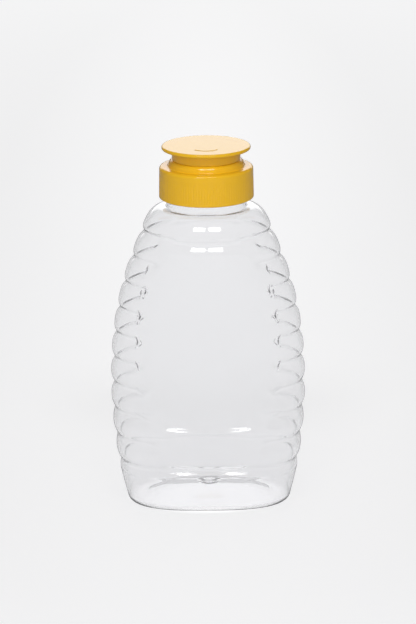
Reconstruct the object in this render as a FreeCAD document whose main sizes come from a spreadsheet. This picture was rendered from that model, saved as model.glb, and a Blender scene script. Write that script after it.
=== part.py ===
"""Honey squeeze bottle: a ribbed clear bottle, its yellow closure and the disc lid on top.

Millimetres, +Z up. The origin is the middle of the ring that the bottle stands on.
X runs across the broad front, Y from front to back.
"""

import FreeCAD, Part
import Sketcher
import math
import os

Vector = FreeCAD.Vector
os.makedirs("parts", exist_ok=True)
doc = FreeCAD.newDocument("HoneySqueezeBottle")

# ---------------------------------------------------------------- driving dimensions

SIZES = [
    # the blown body
    ("body_width", 85.2, "across the widest rib"),
    ("body_depth", 54.0, "front to back at the same height"),
    ("widest_height", 52.0, "height of the widest rib above the floor"),
    ("shoulder_width", 56.9, "across the body where the top groove is cut"),
    ("shoulder_depth", 50.0, "front to back where the top groove is cut"),
    ("foot_width", 72.5, "across the foot, above its rounded corner"),
    ("foot_depth", 46.4, "front to back at the foot, above its rounded corner"),
    ("foot_radius", 3.6, "rounding between the side and the standing ring"),
    ("wall", 0.8, "blown wall of the body"),
    ("squareness", 1.3, "how much fuller than an ellipse the low sections are"),
    ("square_reach", 22.0, "height over which the sections turn to plain ellipses"),
    # the ribs and the label panels
    ("low_groove_height", 20.2, "height of the lowest groove"),
    ("groove_pitch", 11.35, "from one groove to the next"),
    ("groove_count", 10, "grooves, the lowest and the top one running all round"),
    ("groove_depth", 1.6, "from the crest of a rib to the bottom of its groove"),
    ("groove_lip", 2.3, "plain side of the lowest and the top groove"),
    ("rib_fullness", 4.0, "how flat the ribs are: 2 is a round arc, more is flatter"),
    ("panel_width", 62.8, "widest place of the oval label panel"),
    ("panel_height", 116.0, "full height of that oval, cut off by the end grooves"),
    ("panel_centre", 71.0, "height of the middle of the oval"),
    ("panel_rise", 0.15, "panel above the crests of the ribs"),
    ("panel_margin", 1.0, "from the end grooves to the edge of the panel"),
    # the shoulder and the neck
    ("shoulder_height", 10.85, "from the top groove to the foot of the neck"),
    ("neck_diameter", 35.0, "outside of the neck"),
    ("neck_height", 16.0, "from the shoulder to the rim"),
    ("neck_wall", 1.8, "wall of the neck"),
    # the push-up under the bottle
    ("pushup_width", 56.0, "across the raised middle of the base"),
    ("pushup_depth", 32.0, "front to back of the raised middle"),
    ("pushup_rise", 6.5, "height of its middle above the floor"),
    ("gate_diameter", 7.0, "round mark left by the moulding gate"),
    ("gate_drop", 0.5, "how far that mark stands down from the push-up"),
    # the closure
    ("thread_gap", 1.5, "room for the threads between the neck and the skirt"),
    ("skirt_wall", 1.4, "wall of the skirt at its lower edge"),
    ("skirt_draft", 0.2, "how much narrower the skirt is at its top, on the radius"),
    ("skirt_height", 13.7, "from the lower edge of the skirt to the ledge"),
    ("skirt_rounding", 1.0, "rounding of the edge between skirt and ledge"),
    ("lower_rounding", 0.4, "rounding of the lower edge"),
    ("deck_thickness", 1.5, "from the rim of the neck to the ledge"),
    ("ledge_width", 3.8, "flat ledge around the collar"),
    ("collar_radius", 3.7, "rounding of the collar above the ledge"),
    ("collar_run", 1.4, "how far that rounding comes in before the lid sits on it"),
    # the lid
    ("seam_step", 0.3, "collar left showing around the foot of the lid"),
    ("lid_neck_height", 4.4, "from the collar to the underside of the disc"),
    ("disc_overhang", 4.4, "disc beyond the neck of the lid, on the radius"),
    ("disc_thickness", 1.6, "thickness of the disc"),
    ("disc_rounding", 0.7, "rounding of the edges of the disc"),
    ("thumb_mark_radius", 11.3, "crescent thumb mark, from the middle of the disc"),
    ("thumb_mark_width", 10.4, "length of the mark, tip to tip"),
    ("thumb_mark_bulge", 0.9, "widest place of the mark"),
    ("thumb_mark_depth", 0.35, "depth of the mark"),
]

sheet = doc.addObject("Spreadsheet::Sheet", "Sizes")
for row, (alias, value, note) in enumerate(SIZES, start=1):
    sheet.set(f"A{row}", alias)
    sheet.set(f"B{row}", str(value))
    sheet.set(f"C{row}", note)
    sheet.setAlias(f"B{row}", alias)
doc.recompute()


def size(alias):
    """One driving dimension, as a number."""
    return float(getattr(sheet, alias))


# ---------------------------------------------------------------- heights that follow

PITCH = size("groove_pitch")
LOW_GROOVE = size("low_groove_height")
RIB_COUNT = int(size("groove_count")) - 1
TOP_GROOVE = LOW_GROOVE + RIB_COUNT * PITCH
SHOULDER_TOP = TOP_GROOVE + size("shoulder_height")
WALL = size("wall")
SECTION_POINTS = 32  # points that one closed section is drawn through
HIGH_CURVE = 2.28  # power law of the sides and the front above the widest rib
LOW_SIDE_CURVE = 1.83  # and of the sides below it
LOW_FRONT_CURVE = 5.0  # where the front stays flat for longer
SHOULDER_SIDE = 0.32  # the shoulder stays wide at the sides, then turns in sharply
SHOULDER_FRONT_LOW = 1.9  # at the front it leans in all the way up
SHOULDER_FRONT_HIGH = 0.75
RIB_SECTIONS = 7
PANEL_SECTIONS = 9
SHOULDER_SECTIONS = 8

# the same heights, for the pieces whose sizes are bound to the sheet
RIM_RULE = (
    "(Sizes.low_groove_height + (Sizes.groove_count - 1) * Sizes.groove_pitch"
    " + Sizes.shoulder_height + Sizes.neck_height)"
)
NECK_RADIUS_RULE = "(Sizes.neck_diameter / 2)"


# ---------------------------------------------------------------- the blown body


def narrowed(widest, above, below, height, low_curve):
    """Half a width that is greatest at the widest rib and falls off above and below it."""
    away = height - size("widest_height")
    if away >= 0:
        reach = TOP_GROOVE - size("widest_height")
        return (widest - (widest - above) * (away / reach) ** HIGH_CURVE) / 2
    reach = size("widest_height") - size("foot_radius")
    return (widest - (widest - below) * (-away / reach) ** low_curve) / 2


def body_section(height, inset):
    """Closed curve of the body at one height, drawn in by the inset all round."""
    half_width = narrowed(
        size("body_width"), size("shoulder_width"), size("foot_width"), height, LOW_SIDE_CURVE
    )
    half_depth = narrowed(
        size("body_depth"), size("shoulder_depth"), size("foot_depth"), height, LOW_FRONT_CURVE
    )
    return section(half_width - inset, half_depth - inset, fullness(height), height)


def fullness(height):
    """Exponent of the section: 2 is an ellipse, and more is nearer to a rounded box."""
    away = (height - LOW_GROOVE) / size("square_reach")
    return 2 + size("squareness") * math.exp(-(away**2))


def section(half_width, half_depth, power, height):
    """Closed smooth curve |x / half_width|^power + |y / half_depth|^power = 1."""
    points = []
    for step in range(SECTION_POINTS):
        turn = 2 * math.pi * step / SECTION_POINTS
        across = math.cos(turn)
        along = math.sin(turn)
        out = (abs(across) ** power + abs(along) ** power) ** (-1 / power)
        points.append(Vector(half_width * across * out, half_depth * along * out, height))
    curve = Part.BSplineCurve()
    stations = [step / SECTION_POINTS for step in range(SECTION_POINTS + 1)]
    curve.interpolate(Points=points, PeriodicFlag=True, Parameters=stations)
    return Part.Wire([curve.toShape()])


def rib(index, inset):
    """Sections of one rib: a convex arc from one groove to the next."""
    sections = []
    for step in range(RIB_SECTIONS):
        away = -math.cos(math.pi * step / (RIB_SECTIONS - 1))  # -1 and 1 at the grooves
        height = LOW_GROOVE + (index + 0.5 + away / 2) * PITCH
        depth = size("groove_depth") * abs(away) ** size("rib_fullness")
        sections.append(body_section(height, inset + depth))
    return sections


def foot_corner(inset):
    """Quarter round from the standing ring up to the side of the foot."""
    radius = size("foot_radius")
    sections = []
    for step in range(5):
        turn = math.pi / 2 * step / 4
        height = radius - (radius - inset) * math.cos(turn)
        drawn_in = radius - (radius - inset) * math.sin(turn)
        half_width = size("foot_width") / 2 - drawn_in
        half_depth = size("foot_depth") / 2 - drawn_in
        sections.append(section(half_width, half_depth, fullness(radius), height))
    return sections


def foot_side(inset):
    """Side of the foot, from its rounded corner to the lip of the lowest groove."""
    low = size("foot_radius")
    high = LOW_GROOVE - size("groove_lip")
    return [body_section(low + (high - low) * step / 4, inset) for step in range(5)]


def groove_lip(base, direction, inset):
    """Heights and insets of an end groove's plain side: direction is -1 for the side below."""
    steps = []
    for step in range(3):
        along = step / 2
        height = base + direction * size("groove_lip") * along
        depth = size("groove_depth") * (1 - along) ** 2
        steps.append((height, inset + depth))
    return steps


def shoulder(inset, neck_radius):
    """Sections of the shoulder from the lip up to the neck, evenly apart in width."""
    start = TOP_GROOVE + size("groove_lip")
    rise = SHOULDER_TOP - inset - TOP_GROOVE
    widest = (1 - size("groove_lip") / rise) ** SHOULDER_SIDE
    sections = []
    for step in range(SHOULDER_SECTIONS):
        spread = widest * (1 - step / (SHOULDER_SECTIONS - 1))
        height = TOP_GROOVE + rise * (1 - spread ** (1 / SHOULDER_SIDE))
        if step == 0:
            height = start
        sections.append(shoulder_section(height, inset, neck_radius, rise))
    return sections


def shoulder_section(height, inset, neck_radius, rise):
    """Closed curve of the shoulder, an ellipse low down and the round neck at the top."""
    up = min((height - TOP_GROOVE) / rise, 1)
    side = (1 - up) ** SHOULDER_SIDE
    front = (1 - up**SHOULDER_FRONT_LOW) ** SHOULDER_FRONT_HIGH
    low_width = size("shoulder_width") / 2 - inset
    low_depth = size("shoulder_depth") / 2 - inset
    half_width = neck_radius + (low_width - neck_radius) * side
    half_depth = neck_radius + (low_depth - neck_radius) * front
    return section(half_width, half_depth, 2, height)


def lofted(sections):
    """Skin through a list of closed sections."""
    return Part.makeLoft(sections, False, False).Faces


def blown_form(inset, neck_radius):
    """Closed solid of the ribbed body up to the foot of the neck, drawn in by the inset."""
    rise = SHOULDER_TOP - inset - TOP_GROOVE
    low_lip = [body_section(h, i) for h, i in groove_lip(LOW_GROOVE, -1, inset)]
    low_lip.reverse()
    top_lip = []
    for height, drawn_in in groove_lip(TOP_GROOVE, 1, inset):
        top_lip.append(shoulder_section(height, drawn_in, neck_radius, rise))
    bands = [foot_corner(inset), foot_side(inset), low_lip]
    bands += [rib(index, inset) for index in range(RIB_COUNT)]
    bands += [top_lip, shoulder(inset, neck_radius)]
    faces = [Part.Face(bands[0][0]), Part.Face(bands[-1][-1])]
    for band in bands:
        faces += lofted(band)
    shell = Part.makeShell(faces)
    shell.sewShape()
    return Part.makeSolid(Part.Shell(shell.Faces))


def label_panels(inset):
    """Smooth front and back panels: the crest form of the ribs inside an upright oval."""
    margin = size("panel_margin") + inset
    low = LOW_GROOVE + margin
    high = TOP_GROOVE - margin
    sections = []
    for step in range(PANEL_SECTIONS):
        height = low + (high - low) * step / (PANEL_SECTIONS - 1)
        sections.append(body_section(height, inset - size("panel_rise")))
    smooth = Part.makeLoft(sections, True, False)
    half_width = size("panel_width") / 2 - inset
    half_height = size("panel_height") / 2 - inset
    middle = Vector(0, -size("body_depth"), size("panel_centre"))
    oval = Part.Ellipse(
        middle + Vector(0, 0, half_height), middle + Vector(half_width, 0, 0), middle
    )
    face = Part.Face(Part.Wire([oval.toShape()]))
    prism = face.extrude(Vector(0, 2 * size("body_depth"), 0))
    return smooth.common(prism).Solids[0]


def pushup(grown):
    """Oval dome that the base is pushed up with, larger by the wall on the inside."""
    radius = size("pushup_width") / 2 + grown
    rise = size("pushup_rise") + grown
    ball_radius = (radius**2 + rise**2) / (2 * rise)
    middle = Vector(0, 0, rise - ball_radius)
    ball = Part.makeSphere(ball_radius, middle)
    below = Part.makeBox(
        4 * ball_radius,
        4 * ball_radius,
        2 * ball_radius,
        Vector(-2 * ball_radius, -2 * ball_radius, -2 * ball_radius),
    )
    cap = ball.cut(below)
    squeeze = FreeCAD.Matrix()
    squeeze.scale(1, (size("pushup_depth") / 2 + grown) / radius, 1)
    return cap.transformGeometry(squeeze).Solids[0]


def feature(name, shape):
    """Document object that holds a shape worked out by Part's own functions."""
    made = doc.addObject("Part::Feature", name)
    made.Shape = shape
    return made


def combine(kind, name, base, tool):
    """Part boolean of two document objects."""
    made = doc.addObject(kind, name)
    made.Base = base
    made.Tool = tool
    made.Refine = False
    return made


def neck_cylinder(name, radius_rule, drop_rule):
    """Upright cylinder that ends at the rim, bound to the sheet."""
    made = doc.addObject("Part::Cylinder", name)
    made.setExpression("Radius", radius_rule)
    made.setExpression("Height", f"Sizes.neck_height + {drop_rule}")
    made.setExpression("Placement.Base.z", f"{RIM_RULE} - Sizes.neck_height - {drop_rule}")
    return made


def build_bottle():
    """Blown bottle: the outside form, with the same form drawn in by the wall cut away."""
    neck_radius = size("neck_diameter") / 2
    ribbed = feature("RibbedBody", blown_form(0, neck_radius))
    panels = feature("LabelPanels", label_panels(0))
    body = combine("Part::Fuse", "BodyWithPanels", ribbed, panels)
    neck = neck_cylinder("Neck", NECK_RADIUS_RULE, "Sizes.wall / 2")
    outside = combine("Part::Fuse", "BottleOutside", body, neck)

    bore_radius = neck_radius - size("neck_wall")
    hollow = feature("CavityRibbed", blown_form(WALL, bore_radius))
    hollow_panels = feature("CavityPanels", label_panels(WALL))
    cavity = combine("Part::Fuse", "CavityWithPanels", hollow, hollow_panels)
    dome_inside = feature("PushUpInside", pushup(WALL))
    floor_room = combine("Part::Cut", "CavityOverPushUp", cavity, dome_inside)
    bore = neck_cylinder("NeckBore", f"{NECK_RADIUS_RULE} - Sizes.neck_wall", "2 * Sizes.wall")
    room = combine("Part::Fuse", "CavityWithBore", floor_room, bore)

    dome = feature("PushUp", pushup(0))
    gate = doc.addObject("Part::Cylinder", "GateMark")
    gate.setExpression("Radius", "Sizes.gate_diameter / 2")
    gate.setExpression("Height", "Sizes.gate_drop + Sizes.wall / 2")
    gate.setExpression("Placement.Base.z", "Sizes.pushup_rise - Sizes.gate_drop")
    raised = combine("Part::Cut", "OutsideOverPushUp", outside, dome)
    hollowed = combine("Part::Cut", "HollowBottle", raised, room)
    bottle = combine("Part::Fuse", "Bottle", hollowed, gate)
    bottle.Label = "bottle"
    return bottle


# ---------------------------------------------------------------- turned pieces


def plane_of(body, role):
    """One of the body's own origin planes."""
    return [plane for plane in body.Origin.OriginFeatures if plane.Role == role][0]


def sketch_on(body, name, role):
    """Sketch on one of the body's own origin planes."""
    sketch = body.newObject("Sketcher::SketchObject", name)
    sketch.AttachmentSupport = (plane_of(body, role), [""])
    sketch.MapMode = "FlatFace"
    return sketch


def rule_value(rule):
    """Number that a rule over the sheet gives now."""
    return float(sheet.evalExpression(rule))


def pin(sketch, geometry, point, kind, rule):
    """Holds one coordinate of a point, measured from the origin, to a rule over the sheet."""
    if rule == "0":
        axis = -2 if kind == "DistanceX" else -1
        sketch.addConstraint(Sketcher.Constraint("PointOnObject", geometry, point, axis))
        return
    value = rule_value(rule)
    made = sketch.addConstraint(Sketcher.Constraint(kind, -1, 1, geometry, point, value))
    sketch.setExpression(f"Constraints[{made}]", rule)


def profile(sketch, corners):
    """Closed outline. Each corner is (radius rule, height rule, bend).

    The bend is None for a straight side to the next corner, or the two rules of the
    centre that the side to the next corner runs round, anticlockwise.
    """
    places = [Vector(rule_value(corner[0]), rule_value(corner[1]), 0) for corner in corners]
    for index, start in enumerate(places):
        end = places[(index + 1) % len(places)]
        bend = corners[index][2]
        if bend is None:
            sketch.addGeometry(Part.LineSegment(start, end), False)
            continue
        centre = Vector(rule_value(bend[0]), rule_value(bend[1]), 0)
        circle = Part.Circle(centre, Vector(0, 0, 1), start.distanceToPoint(centre))
        first = math.atan2(start.y - centre.y, start.x - centre.x)
        last = math.atan2(end.y - centre.y, end.x - centre.x)
        sketch.addGeometry(Part.ArcOfCircle(circle, first, last), False)
    for index, (radius_rule, height_rule, bend) in enumerate(corners):
        after = (index + 1) % len(corners)
        sketch.addConstraint(Sketcher.Constraint("Coincident", index, 2, after, 1))
        pin(sketch, index, 1, "DistanceX", radius_rule)
        pin(sketch, index, 1, "DistanceY", height_rule)
        if bend is not None:
            pin(sketch, index, 3, "DistanceY", bend[1])


def turned(body, sketch, name):
    """Solid of revolution of a sketch about the upright axis."""
    made = body.newObject("PartDesign::Revolution", name)
    made.Profile = sketch
    made.ReferenceAxis = (sketch, ["V_Axis"])
    made.Angle = 360
    body.Tip = made
    doc.recompute()
    return made


def rounded(body, base, name, circles, rule):
    """Fillet on the circular edges that lie at the given radii and heights."""
    edges = []
    for number, edge in enumerate(base.Shape.Edges, start=1):
        curve = edge.Curve
        if not isinstance(curve, Part.Circle):
            continue
        for radius_rule, height_rule in circles:
            near = abs(curve.Radius - rule_value(radius_rule)) < 0.01
            level = abs(curve.Center.z - rule_value(height_rule)) < 0.01
            if near and level and f"Edge{number}" not in edges:
                edges.append(f"Edge{number}")
    made = body.newObject("PartDesign::Fillet", name)
    made.Base = (base, edges)
    made.Radius = rule_value(rule)
    made.setExpression("Radius", rule)
    body.Tip = made
    doc.recompute()
    return made


SKIRT_INSIDE = "(Sizes.neck_diameter / 2 + Sizes.thread_gap)"
SKIRT_OUTSIDE = f"({SKIRT_INSIDE} + Sizes.skirt_wall)"
SKIRT_TOP_OUTSIDE = f"({SKIRT_OUTSIDE} - Sizes.skirt_draft)"
LEDGE = f"({RIM_RULE} + Sizes.deck_thickness)"
SKIRT_BOTTOM = f"({LEDGE} - Sizes.skirt_height)"
COLLAR_OUTSIDE = f"({SKIRT_TOP_OUTSIDE} - Sizes.ledge_width)"
COLLAR_CENTRE = f"({COLLAR_OUTSIDE} - Sizes.collar_radius)"
COLLAR_TOP_RADIUS = f"({COLLAR_OUTSIDE} - Sizes.collar_run)"
COLLAR_TOP = (
    f"({LEDGE} + sqrt(Sizes.collar_radius ^ 2"
    " - (Sizes.collar_radius - Sizes.collar_run) ^ 2))"
)
LID_NECK = f"({COLLAR_TOP_RADIUS} - Sizes.seam_step)"
DISC_UNDERSIDE = f"({COLLAR_TOP} + Sizes.lid_neck_height)"
DISC_TOP = f"({DISC_UNDERSIDE} + Sizes.disc_thickness)"
DISC_RADIUS = f"({LID_NECK} + Sizes.disc_overhang)"


def build_closure():
    """Skirt that grips the neck, the deck that sits on its rim, and the rounded collar."""
    body = doc.addObject("PartDesign::Body", "ClosureBody")
    body.Label = "closure"
    sketch = sketch_on(body, "ClosureProfile", "XZ_Plane")
    profile(
        sketch,
        [
            (SKIRT_INSIDE, SKIRT_BOTTOM, None),
            (SKIRT_OUTSIDE, SKIRT_BOTTOM, None),
            (SKIRT_TOP_OUTSIDE, LEDGE, None),
            (COLLAR_OUTSIDE, LEDGE, (COLLAR_CENTRE, LEDGE)),
            (COLLAR_TOP_RADIUS, COLLAR_TOP, None),
            ("0", COLLAR_TOP, None),
            ("0", RIM_RULE, None),
            (SKIRT_INSIDE, RIM_RULE, None),
        ],
    )
    form = turned(body, sketch, "ClosureForm")
    edge = rounded(
        body, form, "LedgeEdge", [(SKIRT_TOP_OUTSIDE, LEDGE)], "Sizes.skirt_rounding"
    )
    rounded(body, edge, "LowerEdge", [(SKIRT_OUTSIDE, SKIRT_BOTTOM)], "Sizes.lower_rounding")
    return body


def build_lid():
    """Disc lid on its own short neck, with a crescent mark for the thumb at the front."""
    body = doc.addObject("PartDesign::Body", "LidBody")
    body.Label = "lid"
    sketch = sketch_on(body, "LidProfile", "XZ_Plane")
    profile(
        sketch,
        [
            ("0", COLLAR_TOP, None),
            (LID_NECK, COLLAR_TOP, None),
            (LID_NECK, DISC_UNDERSIDE, None),
            (DISC_RADIUS, DISC_UNDERSIDE, None),
            (DISC_RADIUS, DISC_TOP, None),
            ("0", DISC_TOP, None),
        ],
    )
    form = turned(body, sketch, "LidForm")
    disc_edges = [(DISC_RADIUS, DISC_UNDERSIDE), (DISC_RADIUS, DISC_TOP)]
    rounded(body, form, "DiscEdge", disc_edges, "Sizes.disc_rounding")
    thumb_mark(body)
    return body


def thumb_mark(body):
    """Shallow crescent pocket: two arcs that share their tips."""
    reach = size("thumb_mark_radius")
    half = size("thumb_mark_width") / 2
    tip = -math.sqrt(reach**2 - half**2)
    left = Vector(-half, tip, 0)
    right = Vector(half, tip, 0)
    front = Vector(0, -reach, 0)
    back = Vector(0, -reach + size("thumb_mark_bulge"), 0)
    sketch = sketch_on(body, "ThumbMark", "XY_Plane")
    sketch.setExpression("AttachmentOffset.Base.z", DISC_TOP)
    sketch.addGeometry(Part.Arc(left, front, right), False)
    sketch.addGeometry(Part.Arc(left, back, right), False)
    doc.recompute()
    pocket = body.newObject("PartDesign::Pocket", "ThumbMarkPocket")
    pocket.Profile = sketch
    pocket.setExpression("Length", "Sizes.thumb_mark_depth")
    body.Tip = pocket
    doc.recompute()


# ---------------------------------------------------------------- build, check, write

subparts = [build_bottle(), build_closure(), build_lid()]
doc.recompute()

for item in doc.Objects:
    if "Invalid" in item.State or "Error" in item.State:
        raise RuntimeError(f"{item.Name} failed: {item.State} {item.getStatusString()}")

for item in subparts:
    shape = item.Shape
    if shape.isNull() or not shape.isValid() or len(shape.Solids) != 1:
        raise RuntimeError(f"{item.Label} is not one valid solid")
    shape.exportStep(os.path.join("parts", f"{item.Label}.step"))
    box = shape.BoundBox
    print(f"{item.Label}: {shape.Volume / 1000:.2f} cm3, {len(shape.Faces)} faces,", box)
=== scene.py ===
"""Looks of the honey squeeze bottle: clear ribbed bottle, yellow closure and disc lid."""

import math

import bpy
from mathutils import Matrix, Vector


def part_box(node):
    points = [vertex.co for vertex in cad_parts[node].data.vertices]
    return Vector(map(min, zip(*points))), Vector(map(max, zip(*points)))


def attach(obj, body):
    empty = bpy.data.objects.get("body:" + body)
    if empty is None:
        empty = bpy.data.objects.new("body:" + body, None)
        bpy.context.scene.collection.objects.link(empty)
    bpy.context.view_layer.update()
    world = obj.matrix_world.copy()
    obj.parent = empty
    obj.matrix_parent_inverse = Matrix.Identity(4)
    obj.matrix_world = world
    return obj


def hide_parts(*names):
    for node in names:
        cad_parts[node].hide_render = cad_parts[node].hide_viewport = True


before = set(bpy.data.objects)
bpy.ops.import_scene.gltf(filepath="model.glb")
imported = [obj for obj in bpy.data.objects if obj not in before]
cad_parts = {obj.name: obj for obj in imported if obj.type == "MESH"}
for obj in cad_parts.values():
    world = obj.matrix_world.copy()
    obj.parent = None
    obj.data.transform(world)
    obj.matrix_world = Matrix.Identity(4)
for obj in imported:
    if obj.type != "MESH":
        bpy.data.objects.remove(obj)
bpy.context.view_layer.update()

bottle_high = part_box("bottle")[1]
closure_low, closure_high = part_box("closure")
lid_low, lid_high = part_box("lid")

# ---------------------------------------------------------------- the body, in metres

BODY_WIDTH = 0.0852
BODY_DEPTH = 0.0540
WIDEST_HEIGHT = 0.0520
HIGH_CURVE = 2.28  # power by which the body narrows above the widest rib
LOW_SIDE_CURVE = 1.83  # below it, at the sides
LOW_FRONT_CURVE = 5.0  # below it, at the front and the back
SQUARENESS = 1.3  # how far the section is from an ellipse at the lowest groove
SQUARE_REACH = 0.0220  # and over what height that dies away
FOOT_WIDTH = 0.0725
FOOT_DEPTH = 0.0464
FOOT_RADIUS = 0.0036
WALL = 0.0008
BASE_WALL = 0.0010

# The ribs, and the grooves between them.
LOW_GROOVE = 0.0202
GROOVE_PITCH = 0.01135
RIB_COUNT = 9
RIB_FULLNESS = 4
TOP_GROOVE = LOW_GROOVE + RIB_COUNT * GROOVE_PITCH
GROOVE_DEPTH = 0.0016
GROOVE_LIP = 0.0023  # reach of the two end grooves on their plain side
CRISP_LOW, CRISP_HIGH = 0.0960, 0.1000  # the grooves are crispest between these heights
CRISP_FADE_DOWN, CRISP_FADE_UP = 0.0700, 0.0220
ROUND_SHARP = 0.0005  # how round the bottoms of the grooves are where they are crispest
ROUND_HIGH = 0.0010  # at the shoulder
ROUND_LIP = 0.0006  # just above the top groove
ROUND_LOW = 0.0018  # and at the foot, where the blown wall is softer

# The oval label panels.
PANEL_HALF_WIDTH = 0.0314
PANEL_HALF_HEIGHT = 0.0580
PANEL_CENTRE = 0.0710
PANEL_TOP = TOP_GROOVE - 0.0013  # the panel's top edge is a little lower than the ribs'
HIGH_LIP, HIGH_ROUND = 0.0027, 0.0008
LOW_LIP, LOW_ROUND = 0.0026, 0.0006
EDGE_SHARP = 0.0013  # half the width of the step between the ribs and the panel
EDGE_SOFT = 0.0034  # it is softer towards both ends of the panel
SHARP_HEIGHT = 0.0830  # middle of the stretch where the step is sharp
SHARP_REACH = 0.0140  # half that stretch
SOFTENING = 0.0180  # height over which the step then softens
EDGE_RADIUS = 0.0340  # about how far the step is from the axis

# The shoulder and the neck.
SHOULDER_WIDTH = 0.0569
SHOULDER_DEPTH = 0.0500
SHOULDER_SIDE = 0.32  # the shoulder stays wide at the sides, then turns in sharply
SHOULDER_FRONT_LOW = 1.9  # at the front it leans in all the way up
SHOULDER_FRONT_HIGH = 0.75
NECK_RADIUS = 0.0175
NECK_HEIGHT = 0.0160
NECK_WALL = 0.0018
NECK_THICKENS = 0.0025  # height above the shoulder where the neck's wall starts to thicken
NECK_THICK = 0.0055  # and where it has its full thickness
RIM_EDGE = 0.0004  # rounding of the rim
RIM = bottle_high.z
SHOULDER_TOP = RIM - NECK_HEIGHT

# The pushed-up base and its gate mark.
PUSHUP_HALF_WIDTH = 0.0280
PUSHUP_HALF_DEPTH = 0.0160
PUSHUP_RISE = 0.0065
PUSHUP_CURVE = 2.5  # power of its profile
PUSHUP_POWER = 2.6  # exponent of its section at the edge; in the middle it is an ellipse
GATE_RADIUS = 0.0035
GATE_DROP = 0.0005
GATE_EDGE = 0.0006
RING_LIFT = 0.0002  # the standing ring is rounded, so only its middle touches
RING_PLACE = 0.5  # where it touches, from the push-up to the foot's corner

# How finely the body is drawn.
HALVINGS = 40  # the search for the panel's edge halves its stretch this often
SIDE_STEPS = 12
EDGE_STEPS = 8
PANEL_STEPS = 14
PUSHUP_ROWS = 24
CORNER_ROWS = 12
FOOT_ROWS = 7  # steps from the foot's corner to the lip of the lowest groove
LIP_REACH = 0.0046
LIP_ROWS = 14
LIP_CROWDING = 1.4
RIB_ROWS = 18
SHOULDER_ROWS = 26
# Heights of the neck's rows above the shoulder.
NECK_STATIONS = (0.0003, 0.0010, 0.0024, 0.0032, 0.0040, 0.0048, 0.0058, 0.0110, 0.0156)

# ---------------------------------------------------------------- the cap, in metres

SKIRT_BOTTOM = closure_low.z
SKIRT_RADIUS = closure_high.x
SKIRT_TAPER = 0.0002
SKIRT_WALL = 0.0014
SKIRT_BEVEL = 0.0013
SKIRT_ROWS = 12
DECK_RING = 0.0172  # ring of the deck's underside, on the rim of the neck
LEDGE = RIM + 0.0015
LEDGE_RINGS = (0.0182, 0.0177)  # rings across the ledge, to the collar's foot
COLLAR_RADIUS = 0.0164
COLLAR_BEND = 0.0037
COLLAR_FILLET = 0.0008
COLLAR_SINK = 0.00006  # the fillet runs this far into the collar, so that no crease shows
COLLAR_EDGE = 0.00015
SMALL_EDGE = 0.0004  # roundings of the moulded edges
FINE_EDGE = 0.0002

KNURLS = 110
KNURL_WAVE = (0, -0.6, -1, -0.6)  # one knurl, as shares of its depth
KNURL_RELIEF = 0.00014
KNURL_LOW = SKIRT_BOTTOM + 0.0008
KNURL_HIGH = LEDGE - 0.0036
KNURL_FADE = 0.0006

SEAM = lid_low.z
SEAM_GAP = 0.00002
DISC_TOP = lid_high.z
DISC_RADIUS = lid_high.x
DISC_THICKNESS = 0.0016
DISC_ROUNDING = 0.0007
DISC_RING = 0.0170  # ring of the disc's underside
DISC_RINGS = 120
DISC_SKIN = 0.0001  # points this close to the top belong to it
LID_COLUMNS = 360
LID_NECK_RADIUS = 0.0147
LID_NECK_INNER = 0.0144  # rings of the drum under the disc: across its underside
LID_NECK_LOW = 0.0015  # and up its side
LID_FILLET = 0.0008

THUMB_RADIUS = 0.0060
THUMB_FRONT = -0.0115
THUMB_HALF = 0.0052
THUMB_WIDTH = 0.00024
THUMB_REACH = 1.6 * THUMB_WIDTH  # how far from its middle line the mark dies away
THUMB_FADE = 0.0012
THUMB_DEPTH = 0.00030

# ---------------------------------------------------------------- colours and light

CLEAR = (0.950, 0.951, 0.957, 1)
CLEAR_TO_LIGHT = (0.955, 0.955, 0.96, 1)
DEEP_IN_WALL = 4.5  # bounces after which light goes straight on through the thin walls
YELLOW = (0.83, 0.465, 0.010, 1)
YELLOW_PALER = (0.87, 0.495, 0.016, 1)
YELLOW_ROUGHNESS = (0.08, 0.12)
PLASTIC_IOR = 1.5
PALE_GREY = (0.60, 0.60, 0.61, 1)

FLOOR_HALF = 6.0
GLOW_NEAR = 0.44  # the floor's own light: it evens out the lamps' fall with distance
GLOW_FAR = 0.62
GLOW_START, GLOW_END = -0.1, 1.3  # it grows from the one to the other between these, in Y
GLOW_ASIDE = 0.30  # and to the sides in the same way, from this far out
PAINTED_LIGHT_POOL = 0.09  # painted pool of light: a brighter stretch of floor behind the bottle
POOL_PLACE = (0, -0.70, 0)
POOL_SCALE = (7.5, 1.3, 1)
PAINTED_LIGHT_BENEATH = 0.22  # painted pool of light under the clear bottle, for the light that it gathers under itself
BENEATH_SCALE = (1 / 0.0370, 1 / 0.0238, 1)
BENEATH_EDGE = 0.15  # it fades out over this share of its oval

BACKDROP = (0.91, 0.905, 0.91, 1)
AMBIENT = (0.32, 0.32, 0.32, 1)
BRIGHT_BEHIND = (0.80, 0.94)  # the part of the surroundings that is bright in reflections
BRIGHT_ABOVE = (0.09, 0.15)  # lies behind and above: where its edges start and end, in Y and Z
MIRRORED = (0.22, 2.4)  # strength of the surroundings in reflections, elsewhere and there
FEW_BOUNCES = 3.5  # light that has bounced more often finds them dim everywhere

AIM_HEIGHT = 0.10
SOFT_BOX_REACH = 1.5  # distance of the two soft boxes
SOFT_BOX_UP = math.radians(50)  # and how high they stand above the level
SOFT_BOX_ASIDE = 0.278
SOFT_BOX_AIM = 0.08  # each is aimed this far to its own side
SOFT_BOX_SIZE = (0.445, 0.36)
SOFT_BOX_RADIANCE = 9.0
FILL_SIZE = (3.6, 1.8)
FRONT_FILL, FRONT_RADIANCE = (0, -4.4, 1.10), 3.5
REAR_FILL, REAR_RADIANCE = (0, 4.4, 0.60), 2.2

LENS, SENSOR = 151.9, 36.0  # millimetres
CLIPS = (0.05, 60.0)
CAMERA_PLACE = (0.0002, -1.0988, 0.4173)
CAMERA_DOWN = 16.83  # degrees
CAMERA_ROLL = -0.53


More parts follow.
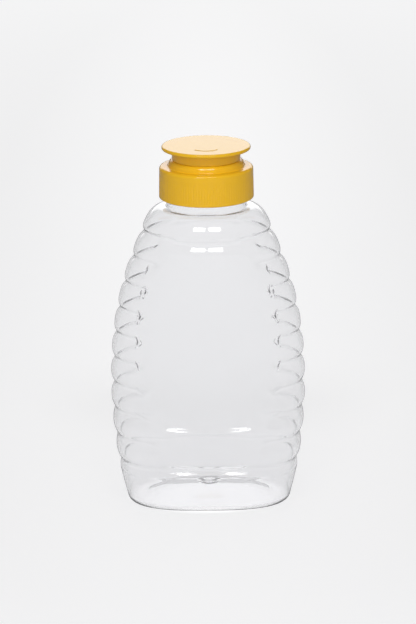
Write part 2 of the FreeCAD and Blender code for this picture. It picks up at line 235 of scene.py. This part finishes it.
# ---------------------------------------------------------------- mesh helpers


def make_piece(name, rows, node, material):
    """Smooth piece, skinned through rings, that stands for a CAD node."""
    points, faces = skin(rows)
    mesh = bpy.data.meshes.new(name)
    mesh.from_pydata([tuple(point) for point in points], [], faces)
    mesh.validate()
    mesh.update()
    for polygon in mesh.polygons:
        polygon.use_smooth = True
    piece = bpy.data.objects.new(name, mesh)
    bpy.context.scene.collection.objects.link(piece)
    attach(piece, "root")
    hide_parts(node)
    mesh.materials.append(material)


def skin(rows):
    """Points and faces of a closed skin through rings; a ring of one point is a pole."""
    points = []
    starts = []
    for row in rows:
        starts.append(len(points))
        points += row
    faces = []
    for index in range(len(rows) - 1):
        lower, upper = rows[index], rows[index + 1]
        low, high = starts[index], starts[index + 1]
        count = max(len(lower), len(upper))
        for step in range(count):
            after = (step + 1) % count
            if len(lower) == 1:
                faces.append((low, high + after, high + step))
            elif len(upper) == 1:
                faces.append((low + step, low + after, high))
            else:
                faces.append((low + step, low + after, high + after, high + step))
    return points, faces


def smoothstep(share):
    """Eased share: 0 up to 0, 1 from 1 on, and level at both ends."""
    share = min(max(share, 0.0), 1.0)
    return share * share * (3 - 2 * share)


# ---------------------------------------------------------------- sections of the bottle


def narrowed(widest, above, below, height, low_curve):
    """Half a width that is greatest at the widest rib and falls off above and below it."""
    away = height - WIDEST_HEIGHT
    if away >= 0:
        share = (away / (TOP_GROOVE - WIDEST_HEIGHT)) ** HIGH_CURVE
        return (widest - (widest - above) * share) / 2
    share = (-away / (WIDEST_HEIGHT - FOOT_RADIUS)) ** low_curve
    return (widest - (widest - below) * share) / 2


def fullness(height):
    """Exponent of the section: 2 is an ellipse, and more is nearer to a rounded box."""
    return 2 + SQUARENESS * math.exp(-(((height - LOW_GROOVE) / SQUARE_REACH) ** 2))


def on_section(half_width, half_depth, power, turn):
    """Point of |x / half_width|^power + |y / half_depth|^power = 1 at one turn."""
    across, along = math.cos(turn), math.sin(turn)
    out = (abs(across) ** power + abs(along) ** power) ** (-1 / power)
    return half_width * across * out, half_depth * along * out


def body_halves(height):
    """Half width and half depth of the body at one height, on the crests of the ribs."""
    half_width = narrowed(BODY_WIDTH, SHOULDER_WIDTH, FOOT_WIDTH, height, LOW_SIDE_CURVE)
    half_depth = narrowed(BODY_DEPTH, SHOULDER_DEPTH, FOOT_DEPTH, height, LOW_FRONT_CURVE)
    return half_width, half_depth


def panel_turn(height):
    """Turn at which the section at this height meets the outline of the label panel."""
    height = min(max(height, LOW_GROOVE), TOP_GROOVE)
    share = (height - PANEL_CENTRE) / PANEL_HALF_HEIGHT
    edge = PANEL_HALF_WIDTH * math.sqrt(1 - share**2)
    half_width = body_halves(height)[0]
    low, high = 0.0, math.pi / 2
    for _ in range(HALVINGS):
        middle = (low + high) / 2
        if on_section(half_width, 1, fullness(height), middle)[0] > edge:
            low = middle
        else:
            high = middle
    return low


def quarter_columns(height):
    """(turn, panel share) of the columns from the side, at +X, to the middle of a panel."""
    edge = panel_turn(height)
    soft = smoothstep((abs(height - SHARP_HEIGHT) - SHARP_REACH) / SOFTENING)
    spread = (EDGE_SHARP + (EDGE_SOFT - EDGE_SHARP) * soft) / EDGE_RADIUS
    columns = []
    for step in range(SIDE_STEPS):
        columns.append(((edge - spread) * step / SIDE_STEPS, 0.0))
    for step in range(EDGE_STEPS):
        along = step / EDGE_STEPS
        columns.append((edge - spread + 2 * spread * along, smoothstep(along)))
    rest = math.pi / 2 - edge - spread
    for step in range(PANEL_STEPS + 1):
        columns.append((edge + spread + rest * step / PANEL_STEPS, 1.0))
    return columns


def full_columns(height):
    """The same columns all the way round, mirrored quarter by quarter."""
    quarter = quarter_columns(height)
    columns = list(quarter)
    columns += [(math.pi - turn, share) for turn, share in reversed(quarter[:-1])]
    columns += [(math.pi + turn, share) for turn, share in quarter[1:]]
    columns += [(2 * math.pi - turn, share) for turn, share in reversed(quarter[1:-1])]
    return columns


# ---------------------------------------------------------------- grooves and panels


def softened(away, rounding):
    """Distance from the bottom of a groove, with the point there rounded off."""
    return math.sqrt(away**2 + rounding**2) - rounding


def groove_round(height):
    """Roundness of the grooves' bottoms: crisp in the upper part, softer elsewhere."""
    above = smoothstep((height - CRISP_HIGH) / CRISP_FADE_UP)
    below = smoothstep((CRISP_LOW - height) / CRISP_FADE_DOWN)
    softer = (ROUND_HIGH - ROUND_SHARP) * above + (ROUND_LOW - ROUND_SHARP) * below
    return ROUND_SHARP + softer


def lip_inset(away, lip, rounding):
    """Depth of an end groove on its plain side, this far from its bottom."""
    return GROOVE_DEPTH * max(1 - softened(away, rounding) / lip, 0.0) ** 2


def side_inset(height):
    """Depth of the grooves at the sides, below the crests of the ribs."""
    rounding = groove_round(height)
    if height > TOP_GROOVE:
        return lip_inset(height - TOP_GROOVE, GROOVE_LIP, ROUND_LIP)
    if height < LOW_GROOVE:
        return lip_inset(LOW_GROOVE - height, GROOVE_LIP, rounding)
    along = (height - LOW_GROOVE) / GROOVE_PITCH % 1
    half = GROOVE_PITCH / 2
    away = softened((1 - abs(2 * along - 1)) * half, rounding) / half
    return GROOVE_DEPTH * (1 - away) ** RIB_FULLNESS


def panel_inset(height):
    """The panel lies flush with the crests and rounds down into the two end grooves."""
    if height > PANEL_CENTRE:
        return lip_inset(abs(height - PANEL_TOP), HIGH_LIP, HIGH_ROUND)
    return lip_inset(abs(height - LOW_GROOVE), LOW_LIP, LOW_ROUND)


# ---------------------------------------------------------------- rings of the bottle


def ribbed_ring(height, half_width, half_depth, power):
    """One row of the bottle: the grooves draw the sides in, the panels stay out."""
    row = []
    for turn, share in full_columns(height):
        inset = side_inset(height) * (1 - share) + panel_inset(height) * share
        x, y = on_section(half_width - inset, half_depth - inset, power, turn)
        row.append(Vector((x, y, height)))
    return row


def body_ring(height):
    """Row of the body, at one height."""
    half_width, half_depth = body_halves(height)
    return ribbed_ring(height, half_width, half_depth, fullness(height))


def shoulder_ring(height):
    """Row of the shoulder: full at the top groove, the round neck at the top."""
    up = min((height - TOP_GROOVE) / (SHOULDER_TOP - TOP_GROOVE), 1)
    side = (1 - up) ** SHOULDER_SIDE
    front = (1 - up**SHOULDER_FRONT_LOW) ** SHOULDER_FRONT_HIGH
    half_width = NECK_RADIUS + (SHOULDER_WIDTH / 2 - NECK_RADIUS) * side
    half_depth = NECK_RADIUS + (SHOULDER_DEPTH / 2 - NECK_RADIUS) * front
    return ribbed_ring(height, half_width, half_depth, 2.0)


def flat_ring(half_width, half_depth, power, height):
    """Plain ring with the same columns as the lowest groove."""
    row = []
    for turn, _ in full_columns(LOW_GROOVE):
        x, y = on_section(half_width, half_depth, power, turn)
        row.append(Vector((x, y, height)))
    return row


def neck_ring(radius, height):
    """Round ring with the same columns as the top groove."""
    row = []
    for turn, _ in full_columns(TOP_GROOVE):
        row.append(Vector((radius * math.cos(turn), radius * math.sin(turn), height)))
    return row


# ---------------------------------------------------------------- rows of the bottle


def pushup_rows():
    """Rings of the raised middle of the base, from its centre out to the standing ring."""
    rows = [[Vector((0, 0, PUSHUP_RISE - GATE_DROP))]]
    for step in range(1, PUSHUP_ROWS + 1):
        out = step / PUSHUP_ROWS
        across, along = PUSHUP_HALF_WIDTH * out, PUSHUP_HALF_DEPTH * out
        height = (PUSHUP_RISE - RING_LIFT) * (1 - out**PUSHUP_CURVE) + RING_LIFT
        row = flat_ring(across, along, 2 + (PUSHUP_POWER - 2) * out, height)
        for point in row:
            far = math.hypot(point.x, point.y)
            point.z -= GATE_DROP * (1 - smoothstep((far - GATE_RADIUS) / GATE_EDGE + 0.5))
        rows.append(row)
    return rows


def foot_rows():
    """Standing ring and its rounded corner."""
    half_width, half_depth = FOOT_WIDTH / 2, FOOT_DEPTH / 2
    power = fullness(FOOT_RADIUS)
    ring_width = half_width - FOOT_RADIUS - PUSHUP_HALF_WIDTH
    ring_depth = half_depth - FOOT_RADIUS - PUSHUP_HALF_DEPTH
    across = PUSHUP_HALF_WIDTH + ring_width * RING_PLACE
    along = PUSHUP_HALF_DEPTH + ring_depth * RING_PLACE
    rows = [flat_ring(across, along, (PUSHUP_POWER + power) / 2, 0.0)]
    for step in range(CORNER_ROWS + 1):
        share = step / CORNER_ROWS
        turn = math.pi / 2 * share
        drawn_in = FOOT_RADIUS * (1 - math.sin(turn))
        height = FOOT_RADIUS * (1 - math.cos(turn)) + RING_LIFT * (1 - share)
        rows.append(flat_ring(half_width - drawn_in, half_depth - drawn_in, power, height))
    return rows


def lip_stations():
    """Distances of the rows beside an end groove, closer together at its bottom."""
    return [LIP_REACH * (step / LIP_ROWS) ** LIP_CROWDING for step in range(1, LIP_ROWS + 1)]


def side_rows():
    """Foot side, ribs and label panels, up to the lip above the top groove."""
    rows = []
    high = LOW_GROOVE - LIP_REACH
    for step in range(1, FOOT_ROWS):
        rows.append(body_ring(FOOT_RADIUS + (high - FOOT_RADIUS) * step / FOOT_ROWS))
    for away in reversed(lip_stations()):
        rows.append(body_ring(LOW_GROOVE - away))
    for index in range(RIB_COUNT):
        for step in range(RIB_ROWS):
            along = 0.5 - 0.5 * math.cos(math.pi * step / RIB_ROWS)
            rows.append(body_ring(LOW_GROOVE + (index + along) * GROOVE_PITCH))
    for away in [0.0] + lip_stations():
        rows.append(shoulder_ring(TOP_GROOVE + away))
    return rows


def shoulder_rows():
    """Rows of the shoulder, evenly apart in width, above the lip of the top groove."""
    rows = []
    rise = SHOULDER_TOP - TOP_GROOVE
    widest = (1 - LIP_REACH / rise) ** SHOULDER_SIDE
    for step in range(1, SHOULDER_ROWS + 1):
        spread = widest * (1 - step / SHOULDER_ROWS)
        rows.append(shoulder_ring(TOP_GROOVE + rise * (1 - spread ** (1 / SHOULDER_SIDE))))
    return rows


def neck_rows():
    """Rows of the neck, up to its rim."""
    rows = [neck_ring(NECK_RADIUS, SHOULDER_TOP + height) for height in NECK_STATIONS]
    rows.append(neck_ring(NECK_RADIUS - RIM_EDGE, RIM))
    return rows


def outward(rows, index, column):
    """Direction square to the skin at one point of its grid."""
    row = rows[index]
    if len(row) == 1:
        return Vector((0, 0, -1))
    around = row[(column + 1) % len(row)] - row[column - 1]
    below, above = rows[max(index - 1, 0)], rows[min(index + 1, len(rows) - 1)]
    up = above[column] - (below[column] if len(below) > 1 else below[0])
    return around.cross(up).normalized()


def wall_at(height, index, base_rows):
    """Thickness of the blown wall: thicker in the base and in the neck's finish."""
    if index < base_rows:
        return BASE_WALL
    if height > SHOULDER_TOP:
        above = height - SHOULDER_TOP - NECK_THICKENS
        up = smoothstep(above / (NECK_THICK - NECK_THICKENS))
        return WALL + (NECK_WALL - WALL) * up
    return WALL + (BASE_WALL - WALL) * (1 - smoothstep(height / FOOT_RADIUS))


def bottle_rows():
    """Outer skin from the middle of the base to the rim, then the inner skin back down."""
    outer = pushup_rows()
    base_rows = len(outer)
    outer += foot_rows() + side_rows() + shoulder_rows() + neck_rows()
    inner = []
    for index, row in enumerate(outer[:-1]):
        drawn = []
        for column, point in enumerate(row):
            wall = wall_at(point.z, index, base_rows)
            drawn.append(point - outward(outer, index, column) * wall)
        inner.append(drawn)
    bore = NECK_RADIUS - NECK_WALL
    inner[-1] = neck_ring(bore, RIM - RIM_EDGE)
    inner.append(neck_ring(bore + RIM_EDGE, RIM))
    inner.reverse()
    return outer + inner


# ---------------------------------------------------------------- turned pieces


def arc(centre, radius, first, last, steps):
    """Points of an arc in the plane of radius and height, angles in degrees."""
    points = []
    for step in range(steps + 1):
        turn = math.radians(first + (last - first) * step / steps)
        out, up = radius * math.cos(turn), radius * math.sin(turn)
        points.append((centre[0] + out, centre[1] + up))
    return points


def turned_rows(outline, columns, relief=None):
    """Rings of a turned piece; relief(radius, height, step) is added to the radius."""
    rows = []
    for radius, height in outline:
        if radius == 0:
            rows.append([Vector((0, 0, height))])
            continue
        row = []
        for step in range(columns):
            turn = 2 * math.pi * step / columns
            out = radius + (relief(radius, height, step) if relief else 0.0)
            row.append(Vector((out * math.cos(turn), out * math.sin(turn), height)))
        rows.append(row)
    return rows


def skirt_outline():
    """Half section of the closure from the middle of the deck's underside to the ledge."""
    small, fine = SMALL_EDGE, FINE_EDGE
    inside = SKIRT_RADIUS - SKIRT_WALL
    outline = [(0, RIM), (DECK_RING, RIM), (inside - fine, RIM), (inside, RIM - small)]
    outline += [(inside, SKIRT_BOTTOM + small + fine), (inside + fine / 2, SKIRT_BOTTOM + fine)]
    outline += [(inside + small, SKIRT_BOTTOM)]
    outline += arc((SKIRT_RADIUS - small, SKIRT_BOTTOM + small), small, -90, 0, 4)
    low, high = SKIRT_BOTTOM + small, LEDGE - SKIRT_BEVEL
    for step in range(1, SKIRT_ROWS + 1):
        along = step / SKIRT_ROWS
        outline.append((SKIRT_RADIUS - SKIRT_TAPER * along, low + (high - low) * along))
    bevel_radius = SKIRT_RADIUS - SKIRT_TAPER - SKIRT_BEVEL
    outline += arc((bevel_radius, LEDGE - SKIRT_BEVEL), SKIRT_BEVEL, 6, 90, 12)
    return outline


def collar_outline():
    """Half section of the closure from the ledge over the collar to the seam's middle."""
    outline = [(radius, LEDGE) for radius in LEDGE_RINGS]
    foot = (COLLAR_RADIUS + COLLAR_FILLET - COLLAR_SINK, LEDGE + COLLAR_FILLET)
    outline += arc(foot, COLLAR_FILLET, 270, 188, 8)
    bend = (COLLAR_RADIUS - COLLAR_BEND, LEDGE)
    last = math.degrees(math.asin((SEAM - LEDGE - COLLAR_EDGE) / COLLAR_BEND))
    outline += arc(bend, COLLAR_BEND, 15, last, 14)
    outline += [(LID_NECK_RADIUS + FINE_EDGE, SEAM), (LID_NECK_RADIUS, SEAM), (0, SEAM)]
    return outline


def knurl(radius, height, step):
    """Relief of the fine knurls round the outside of the skirt."""
    if radius < SKIRT_RADIUS - SKIRT_WALL / 2 or not KNURL_LOW <= height <= KNURL_HIGH:
        return 0.0
    fade = smoothstep((KNURL_HIGH - height) / KNURL_FADE)
    return KNURL_RELIEF * KNURL_WAVE[step % len(KNURL_WAVE)] * fade


def closure_rows():
    """Rings of the closure, from the deck's underside round to the top of the collar."""
    outline = skirt_outline() + collar_outline()
    return turned_rows(outline, KNURLS * len(KNURL_WAVE), knurl)


def lid_outline():
    """Half section of the lid, from the seam to the middle of its top."""
    base = SEAM + SEAM_GAP
    underside = DISC_TOP - DISC_THICKNESS
    neck = LID_NECK_RADIUS
    edge = DISC_RADIUS - DISC_ROUNDING
    outline = [(0, base), (LID_NECK_INNER, base)]
    outline += arc((neck - FINE_EDGE, base + FINE_EDGE), FINE_EDGE, -80, 0, 4)
    outline += [(neck, SEAM + LID_NECK_LOW), (neck, underside - LID_FILLET)]
    outline += arc((neck + LID_FILLET, underside - LID_FILLET), LID_FILLET, 180, 90, 6)[1:]
    outline += [(DISC_RING, underside)]
    outline += arc((edge, underside + DISC_ROUNDING), DISC_ROUNDING, -90, 0, 8)
    outline += arc((edge, DISC_TOP - DISC_ROUNDING), DISC_ROUNDING, 0, 90, 8)
    outline += [(edge * (1 - step / DISC_RINGS), DISC_TOP) for step in range(1, DISC_RINGS)]
    outline.append((0, DISC_TOP))
    return outline


def thumb_mark(x, y):
    """Depth of the fine arc that marks the thumb's place, at one point of the disc."""
    if y > THUMB_FRONT + THUMB_RADIUS or abs(x) > THUMB_HALF:
        return 0.0
    away = abs(math.hypot(x, y - THUMB_FRONT - THUMB_RADIUS) - THUMB_RADIUS)
    ends = smoothstep((THUMB_HALF - abs(x)) / THUMB_FADE)
    return THUMB_DEPTH * ends * smoothstep((THUMB_REACH - away) / THUMB_WIDTH)


def lid_rows():
    """Rings of the lid, with the thumb mark pressed into its top."""
    rows = turned_rows(lid_outline(), LID_COLUMNS)
    for row in rows:
        for point in row:
            if point.z > DISC_TOP - DISC_SKIN:
                point.z -= thumb_mark(point.x, point.y)
    return rows


# ---------------------------------------------------------------- shader helpers


def new_material(name):
    """Material with its node tree and its Principled shader."""
    material = bpy.data.materials.new(name)
    material.use_nodes = True
    tree = material.node_tree
    return material, tree, tree.nodes["Principled BSDF"]


def calculated(tree, operation, *values):
    """Output of a Math node; each value is a socket or a plain number."""
    node = tree.nodes.new("ShaderNodeMath")
    node.operation = operation
    for socket, value in zip(node.inputs, values):
        if isinstance(value, bpy.types.NodeSocket):
            tree.links.new(value, socket)
        else:
            socket.default_value = value
    return node.outputs[0]


def ranged(tree, value, before, after, kind="LINEAR"):
    """Output of a Map Range node, from one pair of limits to another."""
    node = tree.nodes.new("ShaderNodeMapRange")
    node.interpolation_type = kind
    node.inputs["From Min"].default_value, node.inputs["From Max"].default_value = before
    node.inputs["To Min"].default_value, node.inputs["To Max"].default_value = after
    tree.links.new(value, node.inputs["Value"])
    return node.outputs["Result"]


def noise(tree, scale, detail):
    """Output of a Noise node in the piece's own space."""
    place = tree.nodes.new("ShaderNodeTexCoord")
    node = tree.nodes.new("ShaderNodeTexNoise")
    node.inputs["Scale"].default_value = scale
    node.inputs["Detail"].default_value = detail
    tree.links.new(place.outputs["Object"], node.inputs["Vector"])
    return node.outputs["Fac"]


def oval(tree, place, location, scale):
    """Output that is 1 in the middle of an oval and falls to 0 at its edge."""
    mapping = tree.nodes.new("ShaderNodeMapping")
    mapping.inputs["Location"].default_value = location
    mapping.inputs["Scale"].default_value = scale
    gradient = tree.nodes.new("ShaderNodeTexGradient")
    gradient.gradient_type = "SPHERICAL"
    tree.links.new(place, mapping.inputs["Vector"])
    tree.links.new(mapping.outputs["Vector"], gradient.inputs["Vector"])
    return gradient.outputs["Fac"]


def mixed(tree, factor, first, second):
    """Output of a Mix Shader node between two shader nodes."""
    node = tree.nodes.new("ShaderNodeMixShader")
    tree.links.new(factor, node.inputs[0])
    tree.links.new(first.outputs[0], node.inputs[1])
    tree.links.new(second.outputs[0], node.inputs[2])
    return node


def add_bump(tree, shader, height, strength, distance):
    """Low relief on the shader's normal."""
    bump = tree.nodes.new("ShaderNodeBump")
    bump.inputs["Strength"].default_value = strength
    bump.inputs["Distance"].default_value = distance
    tree.links.new(height, bump.inputs["Height"])
    tree.links.new(bump.outputs["Normal"], shader.inputs["Normal"])


# ---------------------------------------------------------------- materials


def clear_plastic():
    """Clear blown plastic, faintly rippled, that lets the lamps' light through."""
    material, tree, shader = new_material("clear_pet")
    shader.inputs["Base Color"].default_value = CLEAR
    shader.inputs["Transmission Weight"].default_value = 1.0
    shader.inputs["IOR"].default_value = PLASTIC_IOR
    shader.inputs["Roughness"].default_value = 0.02
    straight = tree.nodes.new("ShaderNodeBsdfTransparent")
    straight.inputs["Color"].default_value = CLEAR_TO_LIGHT
    path = tree.nodes.new("ShaderNodeLightPath").outputs
    either = calculated(tree, "MAXIMUM", path["Is Shadow Ray"], path["Is Diffuse Ray"])
    deep = calculated(tree, "GREATER_THAN", path["Ray Depth"], DEEP_IN_WALL)
    surface = mixed(tree, calculated(tree, "MAXIMUM", either, deep), shader, straight)
    tree.links.new(surface.outputs[0], tree.nodes["Material Output"].inputs["Surface"])
    ripple = noise(tree, scale=60.0, detail=1.0)
    add_bump(tree, shader, ripple, strength=0.05, distance=0.0005)
    return material


def yellow_plastic(name):
    """Glossy yellow moulded plastic, a little uneven in tint and gloss."""
    material, tree, shader = new_material(name)
    flow = noise(tree, scale=45.0, detail=3.0)
    tint = tree.nodes.new("ShaderNodeMix")
    tint.data_type = "RGBA"
    tint.inputs["A"].default_value = YELLOW
    tint.inputs["B"].default_value = YELLOW_PALER
    tree.links.new(flow, tint.inputs["Factor"])
    tree.links.new(tint.outputs["Result"], shader.inputs["Base Color"])
    rough = ranged(tree, flow, (0.0, 1.0), YELLOW_ROUGHNESS)
    tree.links.new(rough, shader.inputs["Roughness"])
    shader.inputs["IOR"].default_value = PLASTIC_IOR
    grain = noise(tree, scale=2500.0, detail=2.0)
    add_bump(tree, shader, grain, strength=0.04, distance=0.0001)
    return material


def floor_glow(tree):
    """Strength of the floor's own light, place by place, with painted pools of light under and
    behind the bottle.
    """
    place = tree.nodes.new("ShaderNodeTexCoord").outputs["Object"]
    split = tree.nodes.new("ShaderNodeSeparateXYZ")
    tree.links.new(place, split.inputs[0])
    aside = calculated(tree, "ABSOLUTE", split.outputs["X"])
    beyond = calculated(tree, "SUBTRACT", aside, GLOW_ASIDE)
    away = calculated(tree, "MAXIMUM", split.outputs["Y"], beyond)
    spread = ranged(tree, away, (GLOW_START, GLOW_END), (GLOW_NEAR, GLOW_FAR))
    # painted pool of light on the floor under the bottle
    patch = oval(tree, place, (0, 0, 0), BENEATH_SCALE)
    painted_beneath = ranged(tree, patch, (0.0, BENEATH_EDGE), (0.0, PAINTED_LIGHT_BENEATH))
    # painted pool of light on the floor behind the bottle
    painted_pool = oval(tree, place, POOL_PLACE, POOL_SCALE)
    both = calculated(tree, "ADD", painted_beneath, spread)
    return calculated(tree, "MULTIPLY_ADD", painted_pool, PAINTED_LIGHT_POOL, both)


def floor_material():
    """Pale matt floor whose glow only the camera sees, straight or through the bottle."""
    material, tree, shader = new_material("pale_floor")
    shader.inputs["Base Color"].default_value = PALE_GREY
    shader.inputs["Roughness"].default_value = 0.9
    shader.inputs["Specular IOR Level"].default_value = 0.0
    path = tree.nodes.new("ShaderNodeLightPath").outputs
    seen = calculated(tree, "MAXIMUM", path["Is Camera Ray"], path["Is Transmission Ray"])
    glow = tree.nodes.new("ShaderNodeEmission")
    level = calculated(tree, "MULTIPLY", seen, floor_glow(tree))
    tree.links.new(level, glow.inputs["Strength"])
    total = tree.nodes.new("ShaderNodeAddShader")
    tree.links.new(shader.outputs[0], total.inputs[0])
    tree.links.new(glow.outputs[0], total.inputs[1])
    tree.links.new(total.outputs[0], tree.nodes["Material Output"].inputs["Surface"])
    return material


# ---------------------------------------------------------------- stage, light, camera


def build_stage():
    """Level floor under the object."""
    half = FLOOR_HALF
    corners = [(-half, -half, 0), (half, -half, 0), (half, half, 0), (-half, half, 0)]
    mesh = bpy.data.meshes.new("floor")
    mesh.from_pydata(corners, [], [(0, 1, 2, 3)])
    floor = bpy.data.objects.new("floor", mesh)
    bpy.context.scene.collection.objects.link(floor)
    floor.data.materials.append(floor_material())


def background(tree, color):
    """Background node of one colour."""
    node = tree.nodes.new("ShaderNodeBackground")
    node.inputs["Color"].default_value = color
    return node


def mirrored_strength(tree, depth):
    """Strength of the surroundings in reflections: bright behind and above, dim elsewhere."""
    place = tree.nodes.new("ShaderNodeTexCoord")
    split = tree.nodes.new("ShaderNodeSeparateXYZ")
    tree.links.new(place.outputs["Generated"], split.inputs[0])
    behind = ranged(tree, split.outputs["Y"], BRIGHT_BEHIND, (0.0, 1.0), "SMOOTHSTEP")
    above = ranged(tree, split.outputs["Z"], BRIGHT_ABOVE, (0.0, 1.0), "SMOOTHSTEP")
    bright = calculated(tree, "MULTIPLY", behind, above)
    shallow = calculated(tree, "LESS_THAN", depth, FEW_BOUNCES)
    return ranged(tree, calculated(tree, "MULTIPLY", bright, shallow), (0.0, 1.0), MIRRORED)


def build_world():
    """White to the camera and through the plastic, dimmer in reflections, even on matt."""
    world = bpy.data.worlds.new("studio")
    bpy.context.scene.world = world
    world.use_nodes = True
    tree = world.node_tree
    tree.nodes.clear()
    path = tree.nodes.new("ShaderNodeLightPath").outputs
    backdrop, ambient = background(tree, BACKDROP), background(tree, AMBIENT)
    mirrored = tree.nodes.new("ShaderNodeBackground")
    strength = mirrored_strength(tree, path["Ray Depth"])
    tree.links.new(strength, mirrored.inputs["Strength"])
    shown = calculated(tree, "MAXIMUM", path["Is Camera Ray"], path["Is Transmission Ray"])
    unseen = mixed(tree, path["Is Glossy Ray"], ambient, mirrored)
    whole = mixed(tree, shown, unseen, backdrop)
    out = tree.nodes.new("ShaderNodeOutputWorld")
    tree.links.new(whole.outputs[0], out.inputs["Surface"])


def area_light(name, place, aside, size, radiance):
    """Rectangular lamp of the given radiance, aimed at the object or a little aside of it."""
    data = bpy.data.lights.new(name, "AREA")
    data.shape = "RECTANGLE"
    data.size, data.size_y = size
    data.energy = radiance * size[0] * size[1] * math.pi
    lamp = bpy.data.objects.new(name, data)
    lamp.location = place
    towards = Vector((aside, 0, AIM_HEIGHT)) - Vector(place)
    lamp.rotation_euler = towards.to_track_quat("-Z", "Y").to_euler()
    bpy.context.scene.collection.objects.link(lamp)
    return lamp


def build_lights():
    """Two soft boxes above the front, and a broad soft light from the front and the rear."""
    back = -SOFT_BOX_REACH * math.cos(SOFT_BOX_UP)
    height = AIM_HEIGHT + SOFT_BOX_REACH * math.sin(SOFT_BOX_UP)
    for side in (-1, 1):
        place = (side * SOFT_BOX_ASIDE, back, height)
        aside = side * SOFT_BOX_AIM
        area_light(f"soft_box_{side}", place, aside, SOFT_BOX_SIZE, SOFT_BOX_RADIANCE)
    front = area_light("front_fill", FRONT_FILL, 0, FILL_SIZE, FRONT_RADIANCE)
    rear = area_light("rear_fill", REAR_FILL, 0, FILL_SIZE, REAR_RADIANCE)
    for fill in (front, rear):
        fill.visible_camera = False
        fill.visible_glossy = False
        fill.visible_transmission = False


def build_camera():
    """Camera in front of the bottle, looking down on it a little."""
    data = bpy.data.cameras.new("camera")
    data.lens = LENS
    data.sensor_width = SENSOR
    data.clip_start, data.clip_end = CLIPS
    camera = bpy.data.objects.new("camera", data)
    pitch = math.radians(90 - CAMERA_DOWN)
    roll = math.radians(CAMERA_ROLL)
    turn = Matrix.Rotation(pitch, 4, "X") @ Matrix.Rotation(roll, 4, "Z")
    camera.matrix_world = Matrix.Translation(CAMERA_PLACE) @ turn
    bpy.context.scene.collection.objects.link(camera)
    bpy.context.scene.camera = camera


# ---------------------------------------------------------------- build

bpy.context.scene.view_settings.view_transform = "Standard"
build_camera()
build_world()
build_lights()
build_stage()

make_piece("bottle_shell", bottle_rows(), "bottle", clear_plastic())
closure_yellow = yellow_plastic("yellow_closure")
make_piece("closure_shell", closure_rows(), "closure", closure_yellow)
lid_yellow = yellow_plastic("yellow_disc_lid")
make_piece("lid_shell", lid_rows(), "lid", lid_yellow)
